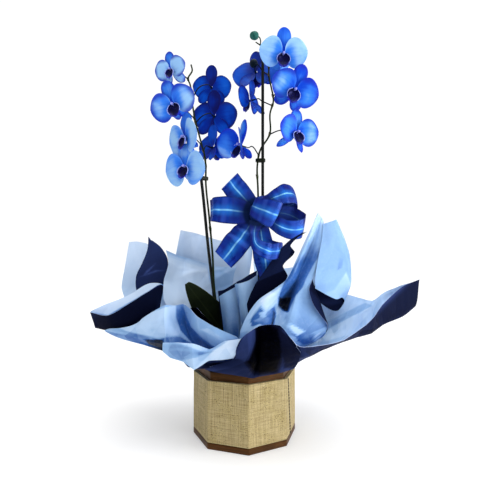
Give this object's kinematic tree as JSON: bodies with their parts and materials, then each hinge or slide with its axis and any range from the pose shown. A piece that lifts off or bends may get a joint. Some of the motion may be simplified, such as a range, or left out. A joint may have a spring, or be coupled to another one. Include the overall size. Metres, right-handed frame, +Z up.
{
  "type": "moth orchid in vase",
  "caption": "Moth orchid with blue flowers on tall staked spikes, in an octagonal wood and jute pot wrapped in pale and navy paper with a ribbon bow.",
  "frame": {"origin": "centre of the pot's flat underside", "axes": "+Z up along the pot's axis, -Y towards the front of the plant, from which it is meant to be seen, and +X to the right of it"},
  "size_m": [0.5425, 0.3347, 0.6704],
  "materials": {
    "wood": "stained, satin",
    "jute": "coarse open weave",
    "liner": "matt",
    "bark": "rough chips",
    "leaf": "waxy leaf",
    "stem": "waxy stem",
    "stake": "dark, matt",
    "clip": "satin",
    "petal": "velvety petal, pale blue with royal blue edges",
    "paper": "pale blue on one side, navy on the other",
    "ribbon": "satin with a pale stripe"
  },
  "bodies": {
    "root": {"bark": "bark", "base_board": "wood", "bow_knot": "ribbon", "bow_loop_front": "ribbon", "bow_loop_left": "ribbon", "bow_loop_lower": "ribbon", "bow_loop_right": "ribbon", "bow_loop_upper_right": "ribbon", "bow_tail_left": "ribbon", "bow_tail_lower": "ribbon", "bow_tail_upper": "ribbon", "bow_tie": "ribbon", "bud": "stem", "crown": "stem", "flower_left_1": "petal", "flower_left_2": "petal", "flower_left_3": "petal", "flower_left_4": "petal", "flower_left_5": "petal", "flower_left_6": "petal", "flower_left_7": "petal", "flower_right_1": "petal", "flower_right_2": "petal", "flower_right_3": "petal", "flower_right_4": "petal", "flower_right_5": "petal", "flower_right_6": "petal", "grow_pot": "liner", "jute_band": "jute", "leaf_back_left": "leaf", "leaf_back_right": "leaf", "leaf_front_left": "leaf", "leaf_heart": "leaf", "leaf_right": "leaf", "left_clip": "clip", "left_spike": "stem", "left_stake": "stake", "paper_back": "paper", "paper_back_left": "paper", "paper_back_panel": "paper", "paper_back_right": "paper", "paper_centre": "paper", "paper_cone": "paper", "paper_front": "paper", "paper_front_left": "paper", "paper_inner_left": "paper", "paper_left_curl": "paper", "paper_left_front": "paper", "paper_left_wing": "paper", "paper_right_wing": "paper", "paper_roll_left": "paper", "paper_roll_right": "paper", "paper_tall_sheet": "paper", "pot_wall": "wood", "right_clip": "clip", "right_spike": "stem", "right_stake": "stake"}
  },
  "joints": []
}
